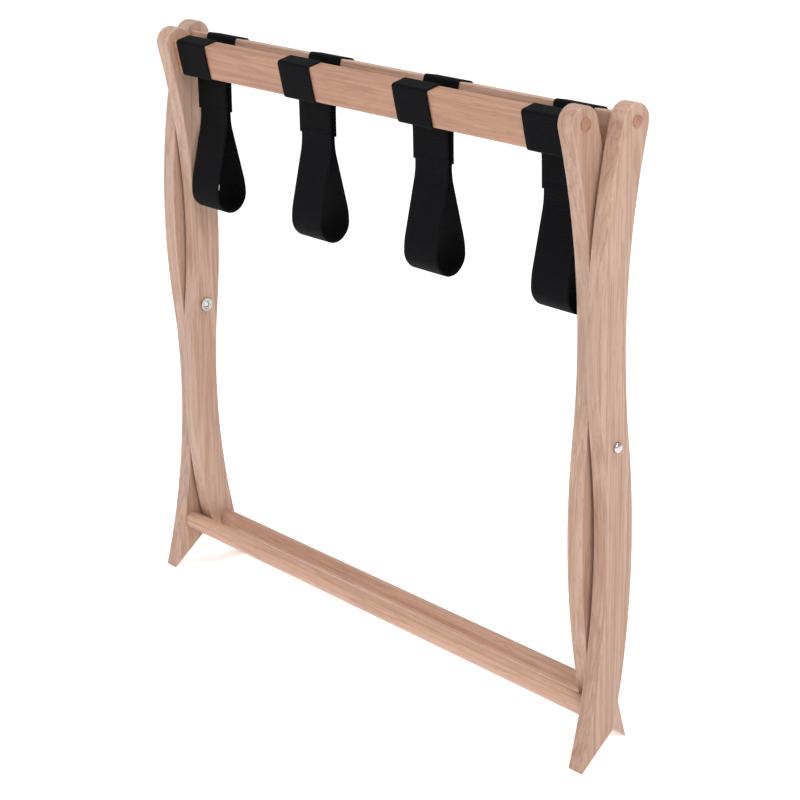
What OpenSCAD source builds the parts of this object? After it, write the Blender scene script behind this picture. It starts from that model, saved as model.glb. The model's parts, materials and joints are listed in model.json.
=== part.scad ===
// Folding luggage rack: two wavy-legged wooden frames that cross on a pair of bolts,
// tied at the top by four webbing straps. It is modelled folded, standing on its foot tips.
// X runs along the rails, +Y is the back, +Z is up. The origin is on the floor, midway
// between the frames. The outer frame has its top at the back, the inner one at the front.

/* [Frames] */
// Length over the outer legs
rack_length = 670; // [620:5:720]
// Height of the pivot bolts above the floor, folded
pivot_height = 315; // [312:1:318]
// How far each frame turns from folded to open, in degrees
fold_angle = 37.2; // [36:0.2:40]
// Thickness of the leg boards
leg_thickness = 19; // [19:0.5:20]
// Width of the leg boards
leg_width = 33; // [32:0.5:34]
// Clear gap between an outer leg and its inner leg
leg_gap = 4; // [4:0.5:5]
// Radius of the curve that a leg's centre line follows
bend_radius = 794; // [780:2:810]
// Lean of the centre line where the legs cross, in degrees
leg_lean = 6.9; // [6.7:0.1:7.1]
// Rise from the pivot to the centre of a leg's round top
top_reach = 298; // [294:1:302]

/* [Rails] */
// Thickness of the top rails
rail_thickness = 17; // [16:0.5:18]
// Depth of the top rails
rail_depth = 37; // [36:0.5:38]
// Rise from the pivot to the centre of a top rail
rail_rise = 285.5; // [284:0.5:287]
// Distance of a top rail's centre from the mid plane, folded
rail_offset = 17; // [17:0.5:18]
// Tilt of the top rails, folded, in degrees
rail_tilt = 12; // [11:0.5:13]
// Diameter of the two lower stretchers
stretcher_diameter = 19; // [18:0.5:19]
// Height of the stretchers above the floor, folded
stretcher_height = 53; // [51:1:55]
// Distance of a stretcher's centre from the mid plane, folded
stretcher_offset = 16.3; // [16.3:0.1:17]

/* [Straps] */
// Width of the webbing that hangs between the rails
strap_width = 47.5; // [44:0.5:48]
// Extra width of the sleeves and of the sewn layer below them
sleeve_extra = 2; // [0:0.5:2]
// Thickness of the webbing
strap_thickness = 1.6; // [1.4:0.1:1.8]
// Distance of the end straps' centres from the inside of the inner legs
strap_inset = 30; // [29:0.5:60]
// Distance that the row of straps sits off centre, to the right
strap_shift = 3.3; // [-4:0.1:4]
// Length of the sewn double layer below a rail
seam_length = 41; // [30:1:42]

/* [Fastenings] */
// Diameter of the pivot bolts
bolt_diameter = 6; // [5:0.5:6]
// Diameter of the domed bolt heads
bolt_head_diameter = 10.5; // [10:0.5:13]
// Diameter of the barrel nuts' flanges
nut_flange_diameter = 15; // [14:0.5:16]
// Diameter of the barrel nuts' barrels
nut_barrel_diameter = 9; // [8.5:0.5:9.5]
// Diameter of the domed wooden plugs
plug_diameter = 12; // [11:0.5:12.5]

/* [Hidden] */
$fn = 64;

leg_color = [0.80, 0.66, 0.58];
rail_color = [0.75, 0.57, 0.48];
plug_color = [0.72, 0.50, 0.40];
webbing_color = [0.09, 0.095, 0.10];
steel_color = [0.78, 0.78, 0.80];

easing = 1.2;
sole_easing = 1.4;
fit_clearance = 0.05;
running_clearance = 0.1;
face_clearance = 0.3;

// Stations along X, for the right-hand side.
outer_face = rack_length / 2;
outer_inside = outer_face - leg_thickness;
inner_face = outer_inside - leg_gap;
inner_inside = inner_face - leg_thickness;

// Centre line of a leg: an arc above the pivot and its point mirror below it.
function slope_at(rise) = asin(rise / bend_radius - sin(leg_lean));
function sway_at(rise) = bend_radius * (cos(leg_lean) - cos(slope_at(rise)));

top_slope = slope_at(top_reach);
top_sway = sway_at(top_reach);
blank_overrun = 20;
foot_slope = slope_at(pivot_height + blank_overrun);
toe_radius = bend_radius - leg_width / 2;
toe_rise = pivot_height - bend_radius * sin(leg_lean);
toe_offset = bend_radius * cos(leg_lean) - sqrt(toe_radius * toe_radius - toe_rise * toe_rise);

// Depths of the hidden joints in the wood.
plug_depth = 6;
plug_stem_diameter = 8;
plug_dome_height = 2.5;
screw_head_diameter = 7.6;
screw_diameter = 4;
screw_head_depth = 10;
screw_length = 45;
pin_diameter = 6;
pin_drop = 8;
pin_in_leg = 9;
pin_in_rail = 15;
stretcher_seat = 10;
spacer_diameter = 16;
bolt_head_height = 3.2;
nut_flange_height = 1.6;

rail_height = pivot_height + rail_rise;
top_height = pivot_height + top_reach;
pin_y = rail_offset - pin_drop * sin(rail_tilt);
pin_z = rail_height - pin_drop * cos(rail_tilt);

// Webbing sleeve round a rail, and the corner that the strap hangs from.
sleeve_gap = 0.15;
sleeve_reach = sleeve_gap + strap_thickness;
strap_corner_y = -rail_offset + (rail_depth / 2 + sleeve_reach) * sin(rail_tilt)
    + (rail_thickness / 2 + sleeve_gap + strap_thickness / 2) * cos(rail_tilt);
strap_corner_z = rail_height - (rail_depth / 2 + sleeve_reach) * cos(rail_tilt)
    + (rail_thickness / 2 + sleeve_gap + strap_thickness / 2) * sin(rail_tilt);

// Half of a strap hangs as five straight links, from the rail to the mid plane. Each
// angle is from straight down towards the mid plane. Opened out, the links lie level.
corner_reach = norm([strap_corner_y, strap_corner_z - pivot_height]);
corner_bearing = atan2(-strap_corner_y, strap_corner_z - pivot_height);
half_strap = corner_reach * sin(corner_bearing + fold_angle);
closest_offset = 1.7;
upper_links = half_strap * [0.318, 0.4375, 0.104];
link_angles = [asin((-strap_corner_y - closest_offset) / upper_links[0]), -13.4, 0, 45, 90];
upper_length = upper_links[0] + upper_links[1] + upper_links[2];
upper_sway = upper_links[0] * sin(link_angles[0]) + upper_links[1] * sin(link_angles[1]);
length_left = half_strap - upper_length;
sway_left = -strap_corner_y - upper_sway;
turn_length = (length_left - sway_left) / (1 - sin(link_angles[3]));
link_lengths = concat(upper_links, [turn_length, length_left - turn_length]);
link_break = 1.2;
mid_break = 0.4;

function link_start(n) = n == 0
    ? [strap_corner_y, strap_corner_z]
    : link_start(n - 1)
        + link_lengths[n - 1] * [sin(link_angles[n - 1]), -cos(link_angles[n - 1])];
function strap_x(n) = strap_shift + (n - 2.5) * 2 / 3 * (inner_inside - strap_inset);
sleeve_width = strap_width + sleeve_extra;

// Lays a shape drawn in the plane of a leg so that its X is world Y and its Y is world Z.
module leg_plane(x) {
    translate([x, 0, 0])
        rotate([90, 0, 90])
            children();
}

module x_rod(x_from, x_to, y, z, diameter) {
    translate([x_from, y, z])
        rotate([0, 90, 0])
            cylinder(h = x_to - x_from, d = diameter);
}

// Bar along X with its four long edges rounded.
module eased_bar(length, thickness, depth, radius) {
    translate([-length / 2, 0, 0]) {
        translate([0, -thickness / 2 + radius, -depth / 2])
            cube([length, thickness - 2 * radius, depth]);
        translate([0, -thickness / 2, -depth / 2 + radius])
            cube([length, thickness, depth - 2 * radius]);
        for (y = [-1, 1])
            for (z = [-1, 1])
                x_rod(0, length, y * (thickness / 2 - radius), z * (depth / 2 - radius), 2 * radius);
    }
}

// One arc of a leg, upwards from a pivot at the origin, where it starts out vertical.
module leg_arc(end_slope) {
    near = bend_radius - leg_width / 2;
    far = bend_radius + leg_width / 2;
    mirror([1, 0, 0])
        translate([-bend_radius, 0, 0])
            rotate_extrude(angle = end_slope + leg_lean, $fn = 360)
                polygon([
                    [near + easing, 0], [far - easing, 0],
                    [far, easing], [far, leg_thickness - easing],
                    [far - easing, leg_thickness], [near + easing, leg_thickness],
                    [near, leg_thickness - easing], [near, easing]
                ]);
}

// Round top of a leg: a disc whose lower half is buried in the arc. It is a touch smaller
// than the leg is wide, so its edge never grazes the leg's sides.
module leg_top() {
    radius = leg_width / 2 - 0.1;
    translate([top_sway, top_reach, 0])
        rotate([0, 0, -100])
            rotate_extrude($fn = 96)
                polygon([
                    [0, 0], [radius - easing, 0], [radius, easing],
                    [radius, leg_thickness - easing], [radius - easing, leg_thickness],
                    [0, leg_thickness]
                ]);
}

// Removes what lies under the sole, and eases the sole's two long edges. The sole is level
// when the rack is open.
module sole_cut() {
    translate([-toe_offset, 0, 0])
        rotate([0, 0, fold_angle]) {
            translate([-leg_width * 3, -leg_width * 3, -1])
                cube([leg_width * 6, leg_width * 3, leg_thickness + 2]);
            for (side = [0, leg_thickness])
                translate([0, 0, side])
                    rotate([45, 0, 0])
                        cube([leg_width * 6, sole_easing * sqrt(2), sole_easing * sqrt(2)],
                            center = true);
        }
}

// Right-hand leg blank that leans to the back at its top, between x and x + leg_thickness.
module leg_blank(x) {
    leg_plane(x)
        difference() {
            translate([0, pivot_height, 0])
                union() {
                    rotate([0, 0, leg_lean]) {
                        leg_arc(top_slope);
                        rotate([0, 0, 180])
                            leg_arc(foot_slope);
                    }
                    leg_top();
                }
            sole_cut();
        }
}

// Holes that both kinds of leg share: plug, screw, rail pin and stretcher seat.
module leg_holes(inside, outside) {
    x_rod(outside - screw_head_depth, outside + 1, top_sway, top_height,
        plug_stem_diameter + 2 * fit_clearance);
    x_rod(inside - 1, outside, top_sway, top_height, screw_diameter + 2 * fit_clearance);
    x_rod(inside - 1, inside + pin_in_leg, pin_y, pin_z, pin_diameter + 2 * fit_clearance);
    x_rod(inside - 1, inside + stretcher_seat, -stretcher_offset, stretcher_height,
        stretcher_diameter + 2 * fit_clearance);
}

module leg(inside, outside, pivot_bore) {
    difference() {
        leg_blank(inside);
        leg_holes(inside, outside);
        x_rod(inside - 1, outside + 1, 0, pivot_height, pivot_bore);
    }
}

module outer_leg() {
    color(leg_color)
        leg(outer_inside, outer_face, bolt_diameter + 2 * running_clearance);
}

module inner_leg() {
    color(leg_color)
        mirror([0, 1, 0])
            leg(inner_inside, inner_face, nut_barrel_diameter + 2 * running_clearance);
}

// Rail of the frame whose top is at the back, between the insides of its legs.
module rail(inside) {
    color(rail_color)
        difference() {
            translate([0, rail_offset, rail_height])
                rotate([-rail_tilt, 0, 0])
                    eased_bar(2 * inside, rail_thickness, rail_depth, 1.5);
            for (side = [0, 1])
                mirror([side, 0, 0]) {
                    x_rod(inside - screw_length, inside + 1, top_sway, top_height,
                        screw_diameter + 2 * fit_clearance);
                    x_rod(inside - pin_in_rail - 1, inside + 1, pin_y, pin_z,
                        pin_diameter + 2 * fit_clearance);
                }
        }
}

// Stretcher of the frame whose feet are at the front.
module stretcher(inside) {
    reach = inside + stretcher_seat - fit_clearance;
    color(rail_color)
        x_rod(-reach, reach, -stretcher_offset, stretcher_height, stretcher_diameter);
}

// Domed button with a stem that fills the mouth of the screw hole.
module plug(outside) {
    dome_radius = (pow(plug_diameter / 2, 2) + pow(plug_dome_height, 2)) / (2 * plug_dome_height);
    color(plug_color)
        translate([outside, top_sway, top_height])
            rotate([0, 90, 0]) {
                translate([0, 0, -plug_depth])
                    cylinder(h = plug_depth, d = plug_stem_diameter);
                intersection() {
                    translate([0, 0, plug_dome_height - dome_radius])
                        sphere(r = dome_radius);
                    cylinder(h = plug_dome_height + 1, d = plug_diameter + 2);
                }
            }
}

// Countersunk screw through a leg into the end of its rail.
module rail_screw(inside, outside) {
    head_top = outside - plug_depth - fit_clearance;
    head_seat = outside - screw_head_depth;
    color(steel_color) {
        x_rod(head_seat, head_top, top_sway, top_height, screw_head_diameter);
        x_rod(inside - screw_length + 5, head_seat + 1, top_sway, top_height, screw_diameter);
    }
}

module rail_pin(inside) {
    color(plug_color)
        x_rod(inside - pin_in_rail, inside + pin_in_leg - 1, pin_y, pin_z, pin_diameter);
}

module both_sides() {
    for (side = [0, 1])
        mirror([side, 0, 0])
            children();
}

// Pivot bolt: domed head outside the outer leg, shank into the barrel nut.
module pivot_bolt() {
    head_radius = bolt_head_diameter / 2;
    dome_radius = (pow(head_radius, 2) + pow(bolt_head_height, 2)) / (2 * bolt_head_height);
    color(steel_color) {
        translate([outer_face + face_clearance, 0, pivot_height])
            rotate([0, 90, 0])
                intersection() {
                    translate([0, 0, bolt_head_height - dome_radius])
                        sphere(r = dome_radius);
                    cylinder(h = bolt_head_height + 1, r = head_radius + 1);
                }
        x_rod(inner_inside, outer_face + face_clearance + 1, 0, pivot_height, bolt_diameter);
    }
}

// Barrel nut: flange inside the inner leg, barrel through it. The bolt's end shows in it.
module barrel_nut() {
    flange_seat = inner_inside - face_clearance;
    color(steel_color)
        difference() {
            union() {
                x_rod(flange_seat - nut_flange_height, flange_seat, 0, pivot_height,
                    nut_flange_diameter);
                x_rod(flange_seat - 0.1, inner_face - 2, 0, pivot_height, nut_barrel_diameter);
            }
            x_rod(flange_seat - nut_flange_height - 1, inner_face, 0, pivot_height,
                bolt_diameter + 2 * fit_clearance);
        }
}

// Spacer washer between an inner and an outer leg.
module pivot_spacer() {
    color(steel_color)
        difference() {
            x_rod(inner_face + face_clearance, outer_inside - face_clearance, 0, pivot_height,
                spacer_diameter);
            x_rod(inner_face, outer_inside, 0, pivot_height, bolt_diameter + 2 * fit_clearance);
        }
}

// Webbing wrapped once round the front rail.
module front_sleeve(n) {
    inner_thickness = rail_thickness + 2 * sleeve_gap;
    inner_depth = rail_depth + 2 * sleeve_gap;
    color(webbing_color)
        translate([strap_x(n), -rail_offset, rail_height])
            rotate([rail_tilt, 0, 0])
                difference() {
                    eased_bar(sleeve_width, inner_thickness + 2 * strap_thickness,
                        inner_depth + 2 * strap_thickness, 1.5 + sleeve_reach);
                    eased_bar(sleeve_width + 2, inner_thickness, inner_depth, 1.5);
                }
}

module back_sleeve(n) {
    mirror([0, 1, 0])
        front_sleeve(n);
}

// Link n of the front half of every strap.
module front_links(n) {
    start = link_start(n);
    first = n == 0 ? link_break : link_break / 2;
    last = n == 4 ? mid_break : link_break / 2;
    color(webbing_color)
        for (s = [1:4])
            translate([strap_x(s), start[0], start[1]])
                rotate([link_angles[n], 0, 0])
                    translate([0, -strap_thickness / 2, -link_lengths[n] + last]) {
                        translate([-strap_width / 2, 0, 0])
                            cube([strap_width, strap_thickness, link_lengths[n] - first - last]);
                        if (n == 0)
                            translate([-sleeve_width / 2, -strap_thickness,
                                link_lengths[0] - last - seam_length])
                                cube([sleeve_width, strap_thickness + 0.1, seam_length - first]);
                    }
}

module back_links(n) {
    mirror([0, 1, 0])
        front_links(n);
}

mirror([1, 0, 0]) outer_leg();  // outer_leg_left
outer_leg();  // outer_leg_right
mirror([1, 0, 0]) inner_leg();  // inner_leg_left
inner_leg();  // inner_leg_right
mirror([0, 1, 0]) rail(inner_inside);  // front_rail
rail(outer_inside);  // back_rail
stretcher(outer_inside);  // front_stretcher
mirror([0, 1, 0]) stretcher(inner_inside);  // back_stretcher
mirror([1, 0, 0]) plug(outer_face);  // outer_plug_left
plug(outer_face);  // outer_plug_right
mirror([1, 0, 0]) mirror([0, 1, 0]) plug(inner_face);  // inner_plug_left
mirror([0, 1, 0]) plug(inner_face);  // inner_plug_right
both_sides() rail_screw(outer_inside, outer_face);  // outer_rail_screws
both_sides() mirror([0, 1, 0]) rail_screw(inner_inside, inner_face);  // inner_rail_screws
both_sides() rail_pin(outer_inside);  // outer_rail_pins
both_sides() mirror([0, 1, 0]) rail_pin(inner_inside);  // inner_rail_pins
mirror([1, 0, 0]) pivot_bolt();  // pivot_bolt_left
pivot_bolt();  // pivot_bolt_right
mirror([1, 0, 0]) barrel_nut();  // barrel_nut_left
barrel_nut();  // barrel_nut_right
mirror([1, 0, 0]) pivot_spacer();  // pivot_spacer_left
pivot_spacer();  // pivot_spacer_right
front_sleeve(1);  // strap_1_front_sleeve
front_sleeve(2);  // strap_2_front_sleeve
front_sleeve(3);  // strap_3_front_sleeve
front_sleeve(4);  // strap_4_front_sleeve
back_sleeve(1);  // strap_1_back_sleeve
back_sleeve(2);  // strap_2_back_sleeve
back_sleeve(3);  // strap_3_back_sleeve
back_sleeve(4);  // strap_4_back_sleeve
front_links(0);  // front_strap_seams
front_links(1);  // front_strap_falls
front_links(2);  // front_strap_bends
front_links(3);  // front_strap_turns
front_links(4);  // front_strap_middles
back_links(0);  // back_strap_seams
back_links(1);  // back_strap_falls
back_links(2);  // back_strap_bends
back_links(3);  // back_strap_turns
back_links(4);  // back_strap_middles
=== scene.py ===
import json
import math

import bmesh
import bpy
from mathutils import Matrix, Vector


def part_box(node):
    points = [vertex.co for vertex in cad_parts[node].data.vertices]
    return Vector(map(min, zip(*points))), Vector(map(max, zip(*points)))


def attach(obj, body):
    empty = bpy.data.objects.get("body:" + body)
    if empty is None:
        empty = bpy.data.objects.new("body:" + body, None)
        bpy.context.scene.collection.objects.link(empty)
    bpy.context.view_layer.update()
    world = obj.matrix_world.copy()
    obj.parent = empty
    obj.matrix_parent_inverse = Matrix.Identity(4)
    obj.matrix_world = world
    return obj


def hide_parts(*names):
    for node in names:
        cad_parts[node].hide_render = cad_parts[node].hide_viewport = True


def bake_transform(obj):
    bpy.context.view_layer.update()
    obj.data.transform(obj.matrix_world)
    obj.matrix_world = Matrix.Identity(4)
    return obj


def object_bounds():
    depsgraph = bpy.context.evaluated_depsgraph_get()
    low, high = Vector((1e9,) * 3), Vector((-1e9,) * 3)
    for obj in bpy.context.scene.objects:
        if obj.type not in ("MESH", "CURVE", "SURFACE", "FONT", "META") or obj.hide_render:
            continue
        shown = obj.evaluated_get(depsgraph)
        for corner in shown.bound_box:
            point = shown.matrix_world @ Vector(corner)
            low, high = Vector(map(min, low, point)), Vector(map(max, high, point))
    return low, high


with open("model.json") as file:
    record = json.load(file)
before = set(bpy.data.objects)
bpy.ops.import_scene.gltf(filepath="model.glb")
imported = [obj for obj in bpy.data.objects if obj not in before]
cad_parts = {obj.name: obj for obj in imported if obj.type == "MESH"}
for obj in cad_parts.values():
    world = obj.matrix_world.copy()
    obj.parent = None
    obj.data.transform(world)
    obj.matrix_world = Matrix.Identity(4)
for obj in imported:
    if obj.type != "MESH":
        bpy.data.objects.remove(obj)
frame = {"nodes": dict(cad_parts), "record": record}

cad_box = [list(v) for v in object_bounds()]
joints = {j["name"]: j for j in frame["record"]["behaviour"]["joints"]}


def span(node, axis):
    """Lowest and highest coordinate of a CAD node along X (0), Y (1) or Z (2)."""
    low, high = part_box(node)
    return low[axis], high[axis]


def middle(node, axis):
    low, high = span(node, axis)
    return (low + high) / 2


def extent(node, axis):
    low, high = span(node, axis)
    return high - low


# ---------------------------------------------------------------- shared sizes, in metres
PIVOT_Z = joints["outer_fold"]["pos_m"][2]
FOLD = math.radians(joints["outer_fold"]["range_deg"][1])

# Each leg's centre line is two arcs of BEND_RADIUS that meet at the pivot, at the slope LEG_LEAN.
LEG_WIDTH = 0.033
LEG_EASING = 0.0017
BEND_RADIUS = 0.794
LEG_LEAN = math.radians(6.9)
TOP_Z = middle("outer_plug_right", 2)

RAIL_THICKNESS = 0.017
RAIL_DEPTH = 0.037
RAIL_EASING = 0.0018
RAIL_TILT = math.radians(12)

# The collar is the sewn double layer below a rail.
STRAP_WIDTH = 0.0475
STRAP_THICKNESS = 0.0016
SLEEVE_WIDTH = extent("strap_1_front_sleeve", 0)
COLLAR = 0.041

SIDES = {"left": -1, "right": 1}


def outer_face(node, side):
    """X of the face of a node that looks away from the rack's middle."""
    return span(node, 0)[1 if SIDES[side] > 0 else 0]


def inner_face(node, side):
    """X of the face of a node that looks at the rack's middle."""
    return span(node, 0)[0 if SIDES[side] > 0 else 1]


# ---------------------------------------------------------------- materials
class Shader:
    """A node material under construction."""

    def __init__(self, name, roughness, metallic=0.0, specular=0.5):
        self.material = bpy.data.materials.new(name)
        self.material.use_nodes = True
        self.tree = self.material.node_tree
        self.surface = self.tree.nodes["Principled BSDF"]
        self.set("Roughness", roughness)
        self.set("Metallic", metallic)
        self.set("Specular IOR Level", specular)

    def set(self, name, value):
        self.surface.inputs[name].default_value = value

    def node(self, kind, **settings):
        n = self.tree.nodes.new(kind)
        for key, value in settings.items():
            setattr(n, key, value)
        return n

    def wire(self, source, target):
        self.tree.links.new(source, target)

    def feed(self, value, socket):
        if isinstance(value, bpy.types.NodeSocket):
            self.wire(value, socket)
        else:
            socket.default_value = value

    def place(self):
        """The object's own coordinates, in metres."""
        return self.node("ShaderNodeTexCoord").outputs["Object"]

    def math(self, operation, a, b=0.0, c=0.0):
        n = self.node("ShaderNodeMath", operation=operation)
        for value, socket in zip((a, b, c), n.inputs):
            self.feed(value, socket)
        return n.outputs[0]

    def scaled(self, source, scale, shift=(0.0, 0.0, 0.0)):
        n = self.node("ShaderNodeMapping")
        self.wire(source, n.inputs["Vector"])
        n.inputs["Location"].default_value = shift
        n.inputs["Scale"].default_value = scale
        return n.outputs[0]

    def noise(self, vector, detail, roughness=0.5, distortion=0.0, scale=1.0):
        n = self.node("ShaderNodeTexNoise")
        self.wire(vector, n.inputs["Vector"])
        n.inputs["Scale"].default_value = scale
        n.inputs["Detail"].default_value = detail
        n.inputs["Roughness"].default_value = roughness
        n.inputs["Distortion"].default_value = distortion
        return n.outputs["Fac"]

    def ramp(self, value, low, high, to_low=0.0, to_high=1.0):
        n = self.node("ShaderNodeMapRange", interpolation_type="SMOOTHSTEP")
        self.wire(value, n.inputs["Value"])
        n.inputs["From Min"].default_value = low
        n.inputs["From Max"].default_value = high
        n.inputs["To Min"].default_value = to_low
        n.inputs["To Max"].default_value = to_high
        return n.outputs[0]

    def mix(self, factor, a, b):
        """Colour a at factor 0 and colour b at factor 1."""
        n = self.node("ShaderNodeMix", data_type="RGBA")
        self.feed(factor, n.inputs[0])
        for value, socket in ((a, n.inputs[6]), (b, n.inputs[7])):
            if isinstance(value, bpy.types.NodeSocket):
                self.wire(value, socket)
            else:
                socket.default_value = (*value, 1.0)
        return n.outputs[2]

    def attribute(self, name):
        return self.node("ShaderNodeAttribute", attribute_name=name).outputs["Fac"]

    def bump(self, height, distance, strength):
        n = self.node("ShaderNodeBump")
        n.inputs["Strength"].default_value = strength
        n.inputs["Distance"].default_value = distance
        self.wire(height, n.inputs["Height"])
        self.wire(n.outputs[0], self.surface.inputs["Normal"])

    def colour(self, socket):
        self.wire(socket, self.surface.inputs["Base Color"])

    def rough(self, socket):
        self.wire(socket, self.surface.inputs["Roughness"])


# Noise cells per metre in the wood, across the grain and along it.
TONE_CELLS = (9, 1.6)
FIGURE_CELLS = (42, 2.2)
FIBRE_CELLS = (420, 6)
VESSEL_CELLS = (1500, 60)


def wood(name, pale, dark, pore, along, seed, edge_glow=0.35):
    """Lacquered hardwood with its grain along one axis: 0 for X, 2 for Z."""
    ring_angle = 44.0
    ring_weight = 0.40
    fibre_weight = 0.48
    tone_weight = 0.40
    tone_shift = -0.16
    fleck_weight = 0.45
    edge_gain = (1.3, 1.45, 1.6)

    s = Shader(name, 0.42, specular=0.4)
    s.set("Coat Weight", 0.12)
    s.set("Coat Roughness", 0.28)
    place = s.place()

    def stretched(cells):
        across, length = cells
        scale = [across] * 3
        scale[along] = length
        return s.scaled(place, scale, [seed * 3.7, seed * 1.9, seed * 2.3])

    tone = s.noise(stretched(TONE_CELLS), detail=2)
    figure = s.noise(stretched(FIGURE_CELLS), detail=4, roughness=0.55, distortion=0.5)
    fibre = s.noise(stretched(FIBRE_CELLS), detail=4, roughness=0.6)
    vessels = s.noise(stretched(VESSEL_CELLS), detail=2)

    rings = s.math("SINE", s.math("MULTIPLY", figure, ring_angle))
    rings = s.ramp(rings, low=-0.6, high=1.0)
    fleck = s.ramp(vessels, low=0.58, high=0.70)
    fibre_shade = s.math("MULTIPLY", s.ramp(fibre, low=0.36, high=0.66), fibre_weight)
    tone_shade = s.math("MULTIPLY_ADD", s.ramp(tone, low=0.32, high=0.68), tone_weight, tone_shift)
    shade = s.math("ADD", s.math("MULTIPLY_ADD", rings, ring_weight, fibre_shade), tone_shade)

    colour = s.mix(shade, pale, dark)
    colour = s.mix(s.math("MULTIPLY", fleck, fleck_weight), colour, pore)
    # Lighter along the eased edges: partly real wear, partly a painted highlight where the edges catch
    # the light.
    wear_and_highlight = s.math("MULTIPLY", s.attribute("edge"), edge_glow)
    s.colour(s.mix(wear_and_highlight, colour, [level * gain for level, gain in zip(pale, edge_gain)]))
    s.rough(s.math("MULTIPLY_ADD", fibre, 0.16, 0.34))
    relief = s.math("MULTIPLY_ADD", fleck, -0.8, s.math("MULTIPLY", fibre, 0.5))
    s.bump(relief, distance=0.0002, strength=0.5)
    return s.material


# The webbing's map holds the place across and along the strap, ten times life size. The pitches
# and the selvedge are in the map's units.
MAP_SCALE = 10
RIB_PITCH = 0.0125
YARN_PITCH = 0.0105
BROAD_PITCH = 0.037
EDGE_RIB_PITCH = 0.0062
SELVEDGE_START = 0.215
SELVEDGE_END = 0.228
WEBBING_BLACK = (0.0006, 0.0007, 0.0010)
WEBBING_GREY = (0.0034, 0.0038, 0.0050)


def webbing(name):
    """Black webbing with ribs across it and a selvedge with finer ribs on each side."""
    yarn_height = 0.35
    edge_rib_height = 0.5

    s = Shader(name, 0.72, specular=0.07)
    s.set("Sheen Weight", 0.012)
    s.set("Sheen Roughness", 0.45)
    s.set("Sheen Tint", (0.75, 0.8, 0.9, 1.0))
    flat = s.node("ShaderNodeSeparateXYZ")
    s.wire(s.node("ShaderNodeTexCoord").outputs["UV"], flat.inputs[0])
    across, length = flat.outputs[0], flat.outputs[1]

    def wave(source, pitch, phase=0.0):
        angle = s.math("MULTIPLY_ADD", source, 2 * math.pi / pitch, phase)
        return s.math("MULTIPLY_ADD", s.math("SINE", angle), 0.5, 0.5)

    rib = wave(length, RIB_PITCH)
    yarn = wave(across, YARN_PITCH, phase=0.6)
    broad = s.ramp(wave(length, BROAD_PITCH), low=0.35, high=0.95)
    body = s.ramp(s.math("ABSOLUTE", across), SELVEDGE_START, SELVEDGE_END, to_low=1.0, to_high=0.0)
    weave = s.math("MULTIPLY", s.math("MULTIPLY_ADD", yarn, yarn_height, rib), body)
    edge_rib = s.math("MULTIPLY", s.math("SUBTRACT", 1.0, body), wave(length, EDGE_RIB_PITCH))
    height = s.math("ADD", weave, s.math("MULTIPLY", edge_rib, edge_rib_height))
    place = s.place()
    fuzz = s.noise(place, detail=4, roughness=0.65, scale=1400)
    fade = s.noise(place, detail=3, scale=38)

    ribbed_light = s.math("MULTIPLY_ADD", height, 0.45, s.math("MULTIPLY", broad, 0.3))
    light = s.math("MULTIPLY", ribbed_light, body)
    light = s.math("ADD", light, s.math("MULTIPLY_ADD", fade, 0.4, -0.1))
    light = s.math("ADD", light, s.math("MULTIPLY", s.attribute("edge"), 0.5))
    s.colour(s.mix(light, WEBBING_BLACK, WEBBING_GREY))
    s.rough(s.math("MULTIPLY_ADD", fuzz, 0.2, 0.62))
    relief = s.math("MULTIPLY_ADD", fuzz, 0.5, s.math("MULTIPLY_ADD", broad, 0.5, height))
    s.bump(relief, distance=0.00022, strength=0.8)
    return s.material


def thread(name):
    s = Shader(name, 0.75, specular=0.1)
    twist = s.noise(s.scaled(s.place(), (2600, 900, 900)), detail=2)
    s.colour(s.mix(twist, (0.001, 0.001, 0.0014), (0.004, 0.0043, 0.005)))
    s.bump(twist, distance=0.0001, strength=0.6)
    return s.material


def metal(name, tint, roughness, streak):
    """Metal with fine scratches. The streak is noise cells per metre along X, Y and Z."""
    blotch_shade = 0.72
    blotch_weight = 0.35
    scratch_depth = 0.16

    s = Shader(name, roughness, metallic=1.0)
    place = s.place()
    scratch = s.noise(s.scaled(place, streak), detail=4, roughness=0.7)
    blotch = s.noise(place, detail=3, scale=320)
    dull = s.ramp(blotch, low=0.35, high=0.75, to_low=0.0, to_high=blotch_weight)
    s.colour(s.mix(dull, tint, [level * blotch_shade for level in tint]))
    s.rough(s.math("MULTIPLY_ADD", scratch, scratch_depth, roughness - 0.06))
    s.bump(scratch, distance=0.00004, strength=0.35)
    return s.material


LEG_PALE = (0.520, 0.342, 0.256)
LEG_DARK = (0.360, 0.200, 0.132)
PALE = (0.530, 0.335, 0.245)
DARK = (0.375, 0.208, 0.140)
PORE = (0.180, 0.085, 0.052)
RED_PALE = (0.480, 0.262, 0.165)
RED_DARK = (0.350, 0.166, 0.100)
DOWEL_PALE = (0.585, 0.355, 0.255)
DOWEL_DARK = (0.430, 0.235, 0.155)
PLUG_PALE = (0.42, 0.205, 0.13)
PLUG_DARK = (0.31, 0.135, 0.08)
PLUG_PORE = (0.18, 0.08, 0.05)
LEG_EDGE_GLOW = 0.16
X_AXIS, Z_AXIS = 0, 2


def leg_wood(name, seed):
    return wood(name, LEG_PALE, LEG_DARK, PORE, Z_AXIS, seed, LEG_EDGE_GLOW)


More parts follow.
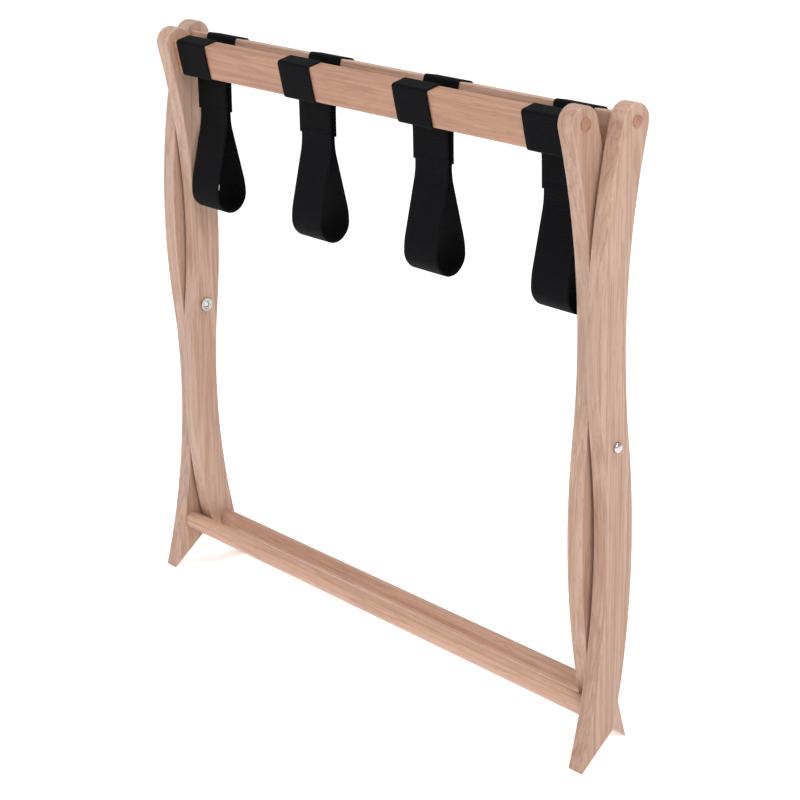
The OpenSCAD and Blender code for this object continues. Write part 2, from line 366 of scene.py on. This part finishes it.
LEG_WOOD = {
    "outer_leg_left": leg_wood("leg_wood_a", 1.0),
    "outer_leg_right": leg_wood("leg_wood_b", 2.3),
    "inner_leg_left": leg_wood("leg_wood_c", 3.1),
    "inner_leg_right": leg_wood("leg_wood_d", 4.6),
}
RAIL_WOOD = {
    "front_rail": wood("rail_wood_a", RED_PALE, RED_DARK, PORE, X_AXIS, 5.2),
    "back_rail": wood("rail_wood_b", PALE, DARK, PORE, X_AXIS, 6.4),
    "front_stretcher": wood("dowel_wood_a", DOWEL_PALE, DOWEL_DARK, PORE, X_AXIS, 7.7),
    "back_stretcher": wood("dowel_wood_b", DOWEL_PALE, DOWEL_DARK, PORE, X_AXIS, 8.5),
}
PLUG_WOOD = wood("plug_wood", PLUG_PALE, PLUG_DARK, PLUG_PORE, X_AXIS, 9.4)
WEBBING = webbing("ribbed_webbing")
THREAD = thread("sewing_thread")
# The plated steel's dimmed, pinkish tint is a painted reflection of the wood around the bolt heads.
PLATED = metal("bright_plated_steel", (0.62, 0.56, 0.58), 0.12, (900, 900, 900))
NICKEL = metal("satin_nickel", (0.50, 0.48, 0.44), 0.28, (300, 1500, 1500))
ZINC = metal("zinc_steel", (0.60, 0.61, 0.63), 0.38, (400, 1800, 1800))


# ---------------------------------------------------------------- mesh helpers
CREASE_ANGLE = math.radians(38)
NORMAL_WEIGHT = 80


def build(name, verts, faces, materials, edge, uv=None, slots=None):
    """A finished mesh object with outward normals, smooth faces and crisp corners. The edge
    weights, 0 to 1 for each vertex, say where a material shows wear and a painted highlight."""
    mesh = bpy.data.meshes.new(name)
    mesh.from_pydata([tuple(v) for v in verts], [], faces)
    for m in materials:
        mesh.materials.append(m)
    attribute = mesh.attributes.new("edge", "FLOAT", "POINT")
    attribute.data.foreach_set("value", edge)
    if uv:
        layer = mesh.uv_layers.new(name="UVMap")
        for loop in mesh.loops:
            layer.data[loop.index].uv = uv[loop.vertex_index]
    if slots:
        mesh.polygons.foreach_set("material_index", slots)
    bm = bmesh.new()
    bm.from_mesh(mesh)
    bmesh.ops.recalc_face_normals(bm, faces=bm.faces)
    bm.to_mesh(mesh)
    bm.free()
    mesh.polygons.foreach_set("use_smooth", [True] * len(mesh.polygons))
    mesh.set_sharp_from_angle(angle=CREASE_ANGLE)
    obj = bpy.data.objects.new(name, mesh)
    bpy.context.scene.collection.objects.link(obj)
    even = obj.modifiers.new("even_normals", "WEIGHTED_NORMAL")
    even.keep_sharp = True
    even.weight = NORMAL_WEIGHT
    return obj


def apply_modifiers(obj):
    """Bakes the modifiers into the mesh."""
    graph = bpy.context.evaluated_depsgraph_get()
    mesh = bpy.data.meshes.new_from_object(obj.evaluated_get(graph))
    obj.modifiers.clear()
    obj.data = mesh


def skin(rows, count, closed=False):
    """Faces between neighbouring rows, each a closed loop of count points."""
    faces = []
    for k in range(rows if closed else rows - 1):
        n = (k + 1) % rows
        for i in range(count):
            j = (i + 1) % count
            faces.append((k * count + i, k * count + j, n * count + j, n * count + i))
    return faces


def end_faces(rows, count):
    """One face over the first row and one over the last."""
    return [tuple(base + i for i in range(count)) for base in (0, (rows - 1) * count)]


def join_rings(rings, segments):
    """Faces between rings of vertex numbers. A ring with one vertex closes an end."""
    faces = []
    for a, b in zip(rings, rings[1:]):
        for i in range(segments):
            j = (i + 1) % segments
            corners = [a[i % len(a)], a[j % len(a)], b[j % len(b)], b[i % len(b)]]
            face = [c for n, c in enumerate(corners) if c not in corners[:n]]
            if len(face) > 2:
                faces.append(tuple(face))
    return faces


def inset(outline, distance):
    """A closed outline moved inwards, with mitred corners. The outline runs anticlockwise."""
    moved = []
    count = len(outline)
    for i, (x, y) in enumerate(outline):
        ax, ay = outline[i - 1]
        bx, by = outline[(i + 1) % count]
        l1, l2 = math.hypot(x - ax, y - ay), math.hypot(bx - x, by - y)
        n1 = (-(y - ay) / l1, (x - ax) / l1)
        n2 = (-(by - y) / l2, (bx - x) / l2)
        k = distance / (1 + n1[0] * n2[0] + n1[1] * n2[1])
        moved.append((x + k * (n1[0] + n2[0]), y + k * (n1[1] + n2[1])))
    return moved


def easing_levels(low, high, radius, steps=4):
    """(inset, position, edge weight) for each loop across a board with rounded edges."""
    levels = []
    for k in range(steps + 1):
        t = math.pi / 2 * (1 - k / steps)
        levels.append((radius * (1 - math.cos(t)), low + radius * (1 - math.sin(t)), math.sin(2 * t)))
    return levels + [(d, low + high - p, w) for d, p, w in reversed(levels)]


def board(name, outline, pairs, low, high, radius, to_world, materials):
    """A board cut to an outline, with eased edges. pairs are outline indices that face each
    other across it and are bridged to fill its two faces."""
    verts, edge = [], []
    levels = easing_levels(low, high, radius)
    count = len(outline)
    for distance, position, weight in levels:
        for point in inset(outline, distance):
            verts.append(to_world(point, position))
            edge.append(weight)
    faces = skin(len(levels), count)
    for base in (0, (len(levels) - 1) * count):
        for (a, b), (c, d) in zip(pairs, pairs[1:]):
            corners = []
            for i in (a, c, d, b):
                if base + i not in corners:
                    corners.append(base + i)
            if len(corners) > 2:
                faces.append(tuple(corners))
    return build(name, verts, faces, materials, edge)


def lathe(name, profile, centre, direction, materials, segments=48, edge=None):
    """A solid of revolution about X. The profile is (distance along X, radius) pairs."""
    thinnest = 1e-7
    verts, rings, weights = [], [], []
    for k, (along, radius) in enumerate(profile):
        ring = []
        for i in range(1 if radius < thinnest else segments):
            t = 2 * math.pi * i / segments
            verts.append((centre[0] + direction * along,
                          centre[1] + radius * math.cos(t), centre[2] + radius * math.sin(t)))
            weights.append(edge[k] if edge else 0.0)
            ring.append(len(verts) - 1)
        rings.append(ring)
    return build(name, verts, join_rings(rings, segments), materials, weights)


def dome(start, height, radius, steps):
    """Profile points of a domed end, without its rim and its tip."""
    angles = [math.pi / 2 * k / steps for k in range(1, steps)]
    return [(start + height * math.sin(t), radius * math.cos(t)) for t in angles]


# ---------------------------------------------------------------- legs
SHAFT_STEPS = 44
FOOT_STEPS = 7
CAP_STEPS = 24


def centre_line(rise):
    """(sway, slope) of a leg's centre line at a height from the pivot."""
    sign = 1 if rise >= 0 else -1
    slope = math.asin(abs(rise) / BEND_RADIUS - math.sin(LEG_LEAN))
    return sign * BEND_RADIUS * (math.cos(LEG_LEAN) - math.cos(slope)), slope


def leg_side(rise, side):
    """Point on the front (-1) or back (+1) edge of a leg that leans back at its top."""
    sway, slope = centre_line(rise)
    return sway + side * LEG_WIDTH / 2 * math.cos(slope), rise - side * LEG_WIDTH / 2 * math.sin(slope)


def find(function, low, high, halvings=60):
    """Where a falling function of one variable crosses zero."""
    for _ in range(halvings):
        mid = (low + high) / 2
        if function(mid) > 0:
            low = mid
        else:
            high = mid
    return (low + high) / 2


def leg_outline():
    """Anticlockwise outline from the front of the round top, and the pairs across it."""
    reach = TOP_Z - PIVOT_Z
    toe = find(lambda u: leg_side(-u, -1)[1] + PIVOT_Z, 0.25, 0.36)
    toe_point = leg_side(-toe, -1)

    def above_sole(u):
        y, z = leg_side(-u, 1)
        return (z - toe_point[1]) - (y - toe_point[0]) * math.tan(FOLD)

    heel = find(above_sole, 0.2, 0.36)
    heel_point = leg_side(-heel, 1)
    front, back = [], []
    for k in range(SHAFT_STEPS + 1):
        rise = reach - (reach + heel) * k / SHAFT_STEPS
        front.append(leg_side(rise, -1))
        back.append(leg_side(rise, 1))
    for k in range(1, FOOT_STEPS + 1):
        t = k / FOOT_STEPS
        front.append(leg_side(-heel - (toe - heel) * t, -1))
        if k < FOOT_STEPS:
            back.append((heel_point[0] + (toe_point[0] - heel_point[0]) * t,
                         heel_point[1] + (toe_point[1] - heel_point[1]) * t))
    sway, slope = centre_line(reach)
    cap = []
    for k in range(1, CAP_STEPS):
        t = math.pi * k / CAP_STEPS - slope
        cap.append((sway + LEG_WIDTH / 2 * math.cos(t), reach + LEG_WIDTH / 2 * math.sin(t)))
    outline = front + back[::-1] + cap
    first_cap = len(front) + len(back)
    pairs = []
    for k in range(CAP_STEPS // 2, 0, -1):
        pairs.append((first_cap + CAP_STEPS - 1 - k, first_cap + k - 1))
    pairs += [(k, first_cap - 1 - k) for k in range(len(back))]
    pairs.append((len(front) - 1, len(front) - 1))
    return outline, pairs


def make_legs():
    outline, pairs = leg_outline()
    for name, body, lean in (
        ("outer_leg_left", "outer_frame", 1), ("outer_leg_right", "outer_frame", 1),
        ("inner_leg_left", "inner_frame", -1), ("inner_leg_right", "inner_frame", -1),
    ):
        low, high = span(name, 0)

        def to_world(point, position, lean=lean):
            return position, lean * point[0], PIVOT_Z + point[1]

        leg = board(name + "_wood", outline, pairs, low, high, LEG_EASING, to_world, [LEG_WOOD[name]])
        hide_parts(name)
        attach(leg, body)


# ---------------------------------------------------------------- rails and stretchers
RAIL_CORNER_STEPS = 5
RAIL_STEPS = 40
DOWEL_STEPS = 24
DOWEL_RIM = 0.0008


def rounded_rectangle(width, height, radius, steps, straight=1):
    """Anticlockwise outline from the lower right corner. Each corner has steps + 1 points, and
    each side is divided into straight lengths."""
    points = []
    for corner, (sx, sy) in enumerate(((1, -1), (1, 1), (-1, 1), (-1, -1))):
        for k in range(steps + 1):
            t = math.radians(-90 + 90 * corner + 90 * k / steps)
            points.append((sx * (width / 2 - radius) + radius * math.cos(t),
                           sy * (height / 2 - radius) + radius * math.sin(t)))
        nx, ny = ((1, 1), (-1, 1), (-1, -1), (1, -1))[corner]
        t = math.radians(90 * corner)
        end = (nx * (width / 2 - radius) + radius * math.cos(t),
               ny * (height / 2 - radius) + radius * math.sin(t))
        start = points[-1]
        for k in range(1, straight):
            f = k / straight
            points.append((start[0] + (end[0] - start[0]) * f, start[1] + (end[1] - start[1]) * f))
    return points


def turned(point, angle):
    """A (y, z) point turned about X."""
    c, s = math.cos(angle), math.sin(angle)
    return c * point[0] - s * point[1], s * point[0] + c * point[1]


def make_rail(name, body, lean):
    """An eased board whose top is tilted to the back (lean 1) or the front (lean -1)."""
    low, high = span(name, 0)
    y, z = middle(name, 1), middle(name, 2)
    section = rounded_rectangle(RAIL_THICKNESS, RAIL_DEPTH, RAIL_EASING, RAIL_CORNER_STEPS)
    section = [turned(point, -lean * RAIL_TILT) for point in section]
    count = len(section)
    corner_points = RAIL_CORNER_STEPS + 1
    weight = [math.sin(math.pi * (i % corner_points) / RAIL_CORNER_STEPS) for i in range(count)]
    verts, edge = [], []
    for k in range(RAIL_STEPS + 1):
        x = low + (high - low) * k / RAIL_STEPS
        verts += [(x, y + a, z + b) for a, b in section]
        edge += weight
    faces = skin(RAIL_STEPS + 1, count) + end_faces(RAIL_STEPS + 1, count)
    rail = build(name + "_wood", verts, faces, [RAIL_WOOD[name]], edge)
    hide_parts(name)
    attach(rail, body)


def make_stretcher(name, body):
    """A round dowel with a small bevel at each end."""
    low, high = span(name, 0)
    radius = extent(name, 2) / 2
    length = high - low
    plain = length - 2 * DOWEL_RIM
    profile = [(0.0, 0.0), (0.0, radius - DOWEL_RIM)]
    profile += [(DOWEL_RIM + plain * k / DOWEL_STEPS, radius) for k in range(DOWEL_STEPS + 1)]
    profile += [(length, radius - DOWEL_RIM), (length, 0.0)]
    rod = lathe(name + "_wood", profile, (low, middle(name, 1), middle(name, 2)), 1,
                [RAIL_WOOD[name]], segments=56)
    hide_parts(name)
    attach(rod, body)


def make_rails():
    make_rail("front_rail", "inner_frame", -1)
    make_rail("back_rail", "outer_frame", 1)
    make_stretcher("front_stretcher", "outer_frame")
    make_stretcher("back_stretcher", "inner_frame")


# ---------------------------------------------------------------- plugs, bolts and nuts
# A plug is a peg in the leg, a head that starts just under the leg's face, and a dome.
PEG_RADIUS = 0.0039
PEG_LENGTH = 0.004
PLUG_RADIUS = 0.0060
PLUG_BEVEL = 0.0004
PLUG_SEAT = 0.0001
PLUG_RIM_LOW = 0.0002
PLUG_RIM_HIGH = 0.0006
PLUG_DOME = 0.0019
PLUG_DOME_STEPS = 9

# The bolt's shank tapers a little to its bevelled tip, which shows in the nut. Its head has a
# rounded lower edge, a short rim that draws in slightly, and a dome.
SHANK_RADIUS = 0.0030
SHANK_TIP_RADIUS = 0.0028
SHANK_BEVEL = 0.0005
SHANK_BEVEL_LENGTH = 0.0004
SHANK_PAST_LEG = 0.0008
BOLT_SEAT = 0.00005
BOLT_EDGE_INSET = 0.0007
BOLT_RIM_LOW = 0.0006
BOLT_RIM_HIGH = 0.0010
BOLT_RIM_EASING = 0.00005
BOLT_DOME_STEPS = 10

# The nut's flange has eased edges and a shallow dish round the bore. The dish is given by its
# depths below the flange's face.
NUT_BORE = 0.0031
NUT_BARREL = 0.0044
NUT_FLANGE = 0.0075
NUT_SEAT = 0.00005
NUT_BACK_EASING = 0.0003
NUT_FACE_EASING = 0.0006
NUT_DISH = 0.0056
DISH_WALL = 0.0008
DISH_FLOOR = 0.0009
DISH_BORE = 0.0011


def make_plug(frame_name, side):
    node = f"{frame_name}_plug_{side}"
    face = outer_face(f"{frame_name}_leg_{side}", side)
    profile = [
        (-PEG_LENGTH, 0.0),
        (-PEG_LENGTH, PEG_RADIUS),
        (-PLUG_SEAT, PEG_RADIUS),
        (-PLUG_SEAT, PLUG_RADIUS - PLUG_BEVEL),
        (PLUG_RIM_LOW, PLUG_RADIUS),
        (PLUG_RIM_HIGH, PLUG_RADIUS),
        *dome(PLUG_RIM_HIGH, PLUG_DOME, PLUG_RADIUS, PLUG_DOME_STEPS),
        (PLUG_RIM_HIGH + PLUG_DOME, 0.0),
    ]
    # Lighter round the plug's rim: partly wear, partly a painted highlight where the rim catches the
    # light.
    rim_wear_and_highlight = [0.6, 0.8, 0.3]
    edge = [0.0] * 4 + rim_wear_and_highlight + [0.0] * PLUG_DOME_STEPS
    plug = lathe(node + "_wood", profile, (face, middle(node, 1), middle(node, 2)), SIDES[side],
                 [PLUG_WOOD], edge=edge)
    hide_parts(node)
    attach(plug, frame_name + "_frame")


def make_bolt(side):
    outer = outer_face("outer_leg_" + side, side)
    inner = inner_face("inner_leg_" + side, side)
    top = abs(outer_face("pivot_bolt_" + side, side)) - abs(outer)
    head = extent("pivot_bolt_" + side, 2) / 2
    tip = -(abs(outer) - abs(inner)) - SHANK_PAST_LEG
    rim = head - BOLT_RIM_EASING
    profile = [
        (tip, 0.0),
        (tip, SHANK_TIP_RADIUS - SHANK_BEVEL),
        (tip + SHANK_BEVEL_LENGTH, SHANK_TIP_RADIUS),
        (0.0, SHANK_RADIUS),
        (BOLT_SEAT, head - BOLT_EDGE_INSET),
        (0.0002, head - 0.0002),
        (BOLT_RIM_LOW, head),
        (BOLT_RIM_HIGH, rim),
        *dome(BOLT_RIM_HIGH, top - BOLT_RIM_HIGH, rim, BOLT_DOME_STEPS),
        (top, 0.0),
    ]
    bolt = lathe(f"pivot_bolt_{side}_steel", profile, (outer, 0.0, PIVOT_Z), SIDES[side], [PLATED])
    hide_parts("pivot_bolt_" + side)
    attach(bolt, "pivots")


def make_nut(side):
    inner = inner_face("inner_leg_" + side, side)
    flange = abs(inner) - abs(inner_face("barrel_nut_" + side, side))
    depth = extent("barrel_nut_" + side, 0) - flange
    profile = [
        (depth, NUT_BORE),
        (depth, NUT_BARREL),
        (0.0, NUT_BARREL),
        (-NUT_SEAT, NUT_FLANGE - 0.0004),
        (-NUT_BACK_EASING, NUT_FLANGE),
        (-flange + NUT_FACE_EASING, NUT_FLANGE),
        (-flange + 0.0002, NUT_FLANGE - 0.0002),
        (-flange, NUT_FLANGE - NUT_FACE_EASING),
        (-flange, NUT_DISH),
        (-flange + 0.0003, NUT_DISH - 0.0004),
        (-flange + DISH_WALL, NUT_DISH - 0.0009),
        (-flange + DISH_FLOOR, NUT_BORE + 0.0003),
        (-flange + DISH_BORE, NUT_BORE),
        (depth, NUT_BORE),
    ]
    nut = lathe(f"barrel_nut_{side}_steel", profile, (inner, 0.0, PIVOT_Z), SIDES[side], [NICKEL])
    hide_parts("barrel_nut_" + side)
    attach(nut, "pivots")


def make_hardware():
    for frame_name in ("outer", "inner"):
        for side in SIDES:
            make_plug(frame_name, side)
    for side in SIDES:
        make_bolt(side)
        make_nut(side)


# ---------------------------------------------------------------- straps
# A strap half is five links from its rail to the mid plane, each after its own hinge. The strap
# curves over CORNER_REACH to both sides of a hinge. Next to the rail it comes out of line, and
# it settles into line over SETTLING.
LINKS = ("seam", "fall", "bend", "turn", "middle")
CORNER_REACH = (0.0, 0.0098, 0.0088, 0.0080, 0.0069)
SETTLING = 0.006
SMALL_STEP = 1e-5
ROW_SPACING = 0.0016
WEBBING_SLOT, THREAD_SLOT = 0, 1

# The seam piece starts in the sleeve, ends past the collar and bends next to the rail.
SEAM_START = -0.0012
SEAM_PAST_COLLAR = 0.001

# Rows of stitches, by their distance from the collar's end.
STITCH_ROWS = (0.0055, 0.0024)
STITCHES = 13
STITCH_PITCH = 0.0036
STITCH_LENGTH = 0.0029
STITCH_RADIUS = 0.0004
STITCH_SEGMENTS = 8

# The collar starts just below the rail. It and its stitches lie outside the strap's centre line.
COLLAR_START = 0.0002
COLLAR_LIFT = STRAP_THICKNESS * 0.97
STITCH_LIFT = STRAP_THICKNESS * 1.45

# Where the map starts on the collar and on each sleeve, in metres, so that their ribs differ.
COLLAR_MAP_START = 0.31
SLEEVE_MAP_START = 0.4
SLEEVE_MAP_STEP = 0.2

# The sleeve stands off its rail, and bows out a little more over the rail's flat sides.
SLEEVE_GAP = 0.00012
SLEEVE_BOW = 0.0002
BOW_REACH = 0.017
BOW_SIDE = 0.008


class StrapHalf:
    """The centre line of half a strap, from its rail to the mid plane, as (y, z) points."""

    def __init__(self, side):
        self.stops = [Vector(joints[f"{side}_{link}_hinge"]["pos_m"][1:]) for link in LINKS]
        self.stops.append(Vector((0.0, self.stops[-1].y)))
        self.side = -1 if side == "front" else 1
        self.directions = []
        self.at = [0.0]
        for a, b in zip(self.stops, self.stops[1:]):
            self.directions.append((b - a).normalized())
            self.at.append(self.at[-1] + (b - a).length)

    def point(self, s):
        """Point at a distance along the links, with rounded corners between them."""
        for k in range(1, len(LINKS)):
            reach = CORNER_REACH[k]
            if abs(s - self.at[k]) < reach:
                t = (s - self.at[k] + reach) / (2 * reach)
                a = self.stops[k] - self.directions[k - 1] * reach
                b = self.stops[k] + self.directions[k] * reach
                return a * (1 - t) ** 2 + self.stops[k] * 2 * t * (1 - t) + b * t ** 2
        k = max(i for i in range(len(LINKS)) if i == 0 or self.at[i] <= s)
        place = self.stops[k] + self.directions[k] * (s - self.at[k])
        if k == 0 and s > 0:
            settled = self.stops[1].x - self.directions[0].x * CORNER_REACH[1]
            place.x = settled + (self.stops[0].x - settled) * math.exp(-s / SETTLING)
        return place

    def frame_at(self, s):
        """(point, outward normal) at a distance along the strap."""
        ahead, behind = self.point(min(s + SMALL_STEP, self.at[-1])), self.point(s - SMALL_STEP)
        along = (ahead - behind).normalized()
        normal = Vector((along.y, -along.x)) * -self.side
        return self.point(s), normal

    def link_centre(self, k):
        """Distance to the middle of the straight stretch after hinge k."""
        return (self.at[k] + CORNER_REACH[k] + self.at[k + 1] - CORNER_REACH[k + 1]) / 2

    def cuts(self):
        """Distances at which the half is cut into pieces, each with one hinge in it."""
        return (SEAM_START, COLLAR + SEAM_PAST_COLLAR, self.link_centre(1), self.link_centre(2),
                self.link_centre(3), self.at[-1])


def band_section(width, thickness, across=10):
    """Closed section of a flat band: (across, out, edge weight) points."""
    radius = thickness * 0.45
    edge_steps = 4
    points = []
    for side in (1, -1):
        for k in range(edge_steps + 1):
            t = math.radians(-90 + 180 * k / edge_steps)
            points.append((side * (width / 2 - radius + radius * math.cos(t)),
                           side * (thickness / 2) * math.sin(t), 1.0))
        for k in range(1, across):
            points.append((side * (width / 2 - radius) * (1 - 2 * k / across), side * thickness / 2, 0.0))
    return points


def band(stations, width, thickness, x, lift, start_v, closed=False):
    """Sweeps a band along (point, normal, distance) stations. Returns vertices, faces,
    edge weights and map points."""
    section = band_section(width, thickness)
    verts, edge, uv = [], [], []
    for point, normal, distance in stations:
        for across, out, weight in section:
            y, z = point + normal * (out + lift)
            verts.append((x + across, y, z))
            edge.append(weight)
            uv.append((across * MAP_SCALE, (start_v + distance) * MAP_SCALE))
    faces = skin(len(stations), len(section), closed)
    if not closed:
        faces += end_faces(len(stations), len(section))
    return verts, faces, edge, uv


def add(parts, extra, slot):
    """Appends one part's geometry to the lists of a mesh in the making."""
    verts, faces, edge, uv, slots = parts
    offset = len(verts)
    verts += extra[0]
    faces += [tuple(offset + i for i in f) for f in extra[1]]
    edge += extra[2]
    uv += extra[3]
    slots += [slot] * len(extra[1])


def stitch(x, point, normal):
    """One thread stitch across the strap, as a capsule half sunk in the webbing."""
    capsule = ((-0.5, 0.0), (-0.42, 0.7), (-0.2, 1.0), (0.2, 1.0), (0.42, 0.7), (0.5, 0.0))
    tangent = Vector((-normal.y, normal.x))
    verts, rings = [], []
    for along, share in capsule:
        radius = STITCH_RADIUS * share
        ring = []
        for i in range(STITCH_SEGMENTS if share else 1):
            t = 2 * math.pi * i / STITCH_SEGMENTS
            y, z = point + normal * (radius * math.cos(t)) + tangent * (radius * math.sin(t))
            ring.append(len(verts))
            verts.append((x + along * STITCH_LENGTH, y, z))
        rings.append(ring)
    faces = join_rings(rings, STITCH_SEGMENTS)
    return verts, faces, [0.0] * len(verts), [(0.0, 0.0)] * len(verts)


def rows_between(half, start, stop):
    steps = max(2, round((stop - start) / ROW_SPACING))
    rows = []
    for k in range(steps + 1):
        s = start + (stop - start) * k / steps
        point, normal = half.frame_at(s)
        rows.append((point, normal, s))
    return rows


def add_collar(parts, half, x):
    """The second layer below the rail, sewn down with two rows of stitches."""
    rows = rows_between(half, COLLAR_START, COLLAR)
    add(parts, band(rows, SLEEVE_WIDTH, STRAP_THICKNESS, x, COLLAR_LIFT, COLLAR_MAP_START), WEBBING_SLOT)
    for row in STITCH_ROWS:
        point, normal = half.frame_at(COLLAR - row)
        surface = point + normal * STITCH_LIFT
        for i in range(STITCHES):
            place = x + (i - STITCHES // 2) * STITCH_PITCH
            add(parts, stitch(place, surface, normal), THREAD_SLOT)


def make_straps():
    for side, frame_body in (("front", "inner_frame"), ("back", "outer_frame")):
        half = StrapHalf(side)
        cuts = half.cuts()
        for number in (1, 2, 3, 4):
            sleeve_node = f"strap_{number}_{side}_sleeve"
            x = middle(sleeve_node, 0)
            for k in range(len(LINKS)):
                parts = ([], [], [], [], [])
                rows = rows_between(half, cuts[k], cuts[k + 1])
                add(parts, band(rows, STRAP_WIDTH, STRAP_THICKNESS, x, 0.0, 0.0), WEBBING_SLOT)
                if k == 0:
                    add_collar(parts, half, x)
                verts, faces, edge, uv, slots = parts
                piece = build(f"strap_{number}_{side}_{LINKS[k]}_webbing", verts, faces,
                              [WEBBING, THREAD], edge, uv, slots)
                apply_modifiers(piece)
                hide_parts(f"{side}_strap_{LINKS[k]}s")
                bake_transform(piece)
            make_sleeve(sleeve_node, side, frame_body, x, number)


def make_sleeve(node, side, body, x, number):
    """Webbing wrapped once round a rail."""
    rail = side + "_rail"
    centre = Vector((middle(rail, 1), middle(rail, 2)))
    tilt = RAIL_TILT if side == "front" else -RAIL_TILT
    growth = 2 * SLEEVE_GAP + STRAP_THICKNESS
    outline = rounded_rectangle(RAIL_THICKNESS + growth, RAIL_DEPTH + growth, RAIL_EASING + growth / 2,
                                steps=6, straight=6)
    rows = []
    distance = 0.0
    count = len(outline)
    for i, (a, b) in enumerate(outline):
        before, after = outline[i - 1], outline[(i + 1) % count]
        tangent = Vector((after[0] - before[0], after[1] - before[1])).normalized()
        normal = Vector((tangent.y, -tangent.x))
        bow = SLEEVE_BOW * max(0.0, 1 - (abs(b) / BOW_REACH) ** 2) if abs(a) > BOW_SIDE else 0.0
        place = centre + Vector(turned((a + normal.x * bow, b + normal.y * bow), tilt))
        rows.append((place, Vector(turned(normal, tilt)), distance))
        distance += math.dist(outline[i], after)
    verts, faces, edge, uv = band(rows, SLEEVE_WIDTH, STRAP_THICKNESS, x, 0.0,
                                 SLEEVE_MAP_START + SLEEVE_MAP_STEP * number, closed=True)
    sleeve = build(node + "_webbing", verts, faces, [WEBBING], edge, uv)
    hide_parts(node)
    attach(sleeve, body)


# ---------------------------------------------------------------- CAD nodes that stay
def finish_cad_nodes():
    for name, obj in frame["nodes"].items():
        if "screws" in name or "spacer" in name:
            finish = ZINC
        elif "pins" in name:
            finish = PLUG_WOOD
        else:
            continue
        for place in obj.material_slots:
            place.link = "OBJECT"
            place.material = finish


# ---------------------------------------------------------------- stage, light and camera
FLOOR_REACH = 30.0
FLOOR_GLOW = 0.46
WORLD_LIGHT = 0.56
WHITE = (1.0, 1.0, 1.0, 1.0)

CAMERA_PLACE = (1.561043, -1.322138, 0.997477)
CAMERA_YAW = math.radians(49.0195)
CAMERA_PITCH = math.radians(-16.0623)
CAMERA_ROLL = math.radians(-1.0210)
CAMERA_SENSOR = 36.0
CAMERA_LENS = 94.982
CAMERA_SHIFT = -0.15625


def make_floor():
    floor_z = cad_box[0][2]
    s = Shader("studio_floor", 0.9, specular=0.1)
    grain = s.noise(s.place(), detail=3, scale=60)
    s.colour(s.mix(grain, (0.93, 0.93, 0.93), (0.95, 0.95, 0.95)))
    s.set("Emission Color", WHITE)
    s.set("Emission Strength", FLOOR_GLOW)
    mesh = bpy.data.meshes.new("studio_floor")
    corners = ((-1, -1), (1, -1), (1, 1), (-1, 1))
    mesh.from_pydata([(sx * FLOOR_REACH, sy * FLOOR_REACH, floor_z) for sx, sy in corners],
                     [], [(0, 1, 2, 3)])
    mesh.materials.append(s.material)
    floor = bpy.data.objects.new("studio_floor", mesh)
    bpy.context.scene.collection.objects.link(floor)


def make_world():
    world = bpy.data.worlds.new("studio")
    world.use_nodes = True
    background = world.node_tree.nodes["Background"]
    background.inputs["Color"].default_value = WHITE
    background.inputs["Strength"].default_value = WORLD_LIGHT
    bpy.context.scene.world = world


def make_lamp(name, place, target, size, power):
    """A square lamp at a place, aimed at a target."""
    data = bpy.data.lights.new(name, "AREA")
    data.shape = "SQUARE"
    data.size = size
    data.energy = power
    lamp = bpy.data.objects.new(name, data)
    lamp.location = place
    lamp.rotation_mode = "QUATERNION"
    lamp.rotation_quaternion = (Vector(target) - Vector(place)).to_track_quat("-Z", "Y")
    bpy.context.scene.collection.objects.link(lamp)


def make_stage():
    make_floor()
    make_world()
    make_lamp("key", (2.6, -0.9, 2.2), (0.0, 0.0, 0.35), size=1.3, power=34)
    make_lamp("fill", (-1.6, -2.6, 1.7), (0.0, 0.0, 0.3), size=1.6, power=20)
    make_lamp("top", (0.2, 0.4, 3.0), (0.0, 0.0, 0.3), size=1.6, power=30)


def make_camera():
    data = bpy.data.cameras.new("camera")
    data.sensor_width = CAMERA_SENSOR
    data.lens = CAMERA_LENS
    data.shift_y = CAMERA_SHIFT
    data.clip_start = 0.05
    data.clip_end = 100.0
    camera = bpy.data.objects.new("camera", data)
    look = Vector((-math.sin(CAMERA_YAW) * math.cos(CAMERA_PITCH),
                   math.cos(CAMERA_YAW) * math.cos(CAMERA_PITCH), math.sin(CAMERA_PITCH)))
    level = Vector((math.cos(CAMERA_YAW), math.sin(CAMERA_YAW), 0.0))
    upright = level.cross(look)
    right = level * math.cos(CAMERA_ROLL) + upright * math.sin(CAMERA_ROLL)
    up = upright * math.cos(CAMERA_ROLL) - level * math.sin(CAMERA_ROLL)
    matrix = Matrix((right, up, -look)).transposed().to_4x4()
    matrix.translation = CAMERA_PLACE
    camera.matrix_world = matrix
    bpy.context.scene.collection.objects.link(camera)
    bpy.context.scene.camera = camera
    bpy.context.scene.view_settings.view_transform = "Standard"


make_legs()
make_rails()
make_hardware()
make_straps()
finish_cad_nodes()
make_stage()
make_camera()
